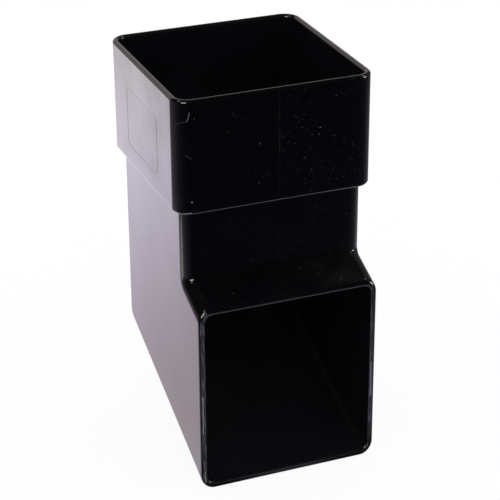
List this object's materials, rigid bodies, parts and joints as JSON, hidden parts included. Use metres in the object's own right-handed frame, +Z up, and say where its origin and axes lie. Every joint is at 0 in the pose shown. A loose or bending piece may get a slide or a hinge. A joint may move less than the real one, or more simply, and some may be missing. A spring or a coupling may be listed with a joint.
{
  "type": "square downpipe shoe",
  "caption": "Black plastic downpipe shoe: a square socket for the pipe's end over a short square tube that bends forward to an open upright mouth.",
  "frame": {"origin": "middle of the ledge inside the socket that the downpipe's end lands on, on the pipe's axis", "axes": "+Z up the downpipe, out of the socket; the outlet mouth looks along -Y and the wall is on the +Y side; the part is symmetric left to right across X = 0"},
  "size_m": [0.0704, 0.0805, 0.1399],
  "materials": {
    "gloss_black_plastic": "high gloss from a polished mould, lightly rubbed and dusty"
  },
  "bodies": {
    "root": {"downpipe_shoe": "gloss_black_plastic"}
  },
  "joints": []
}
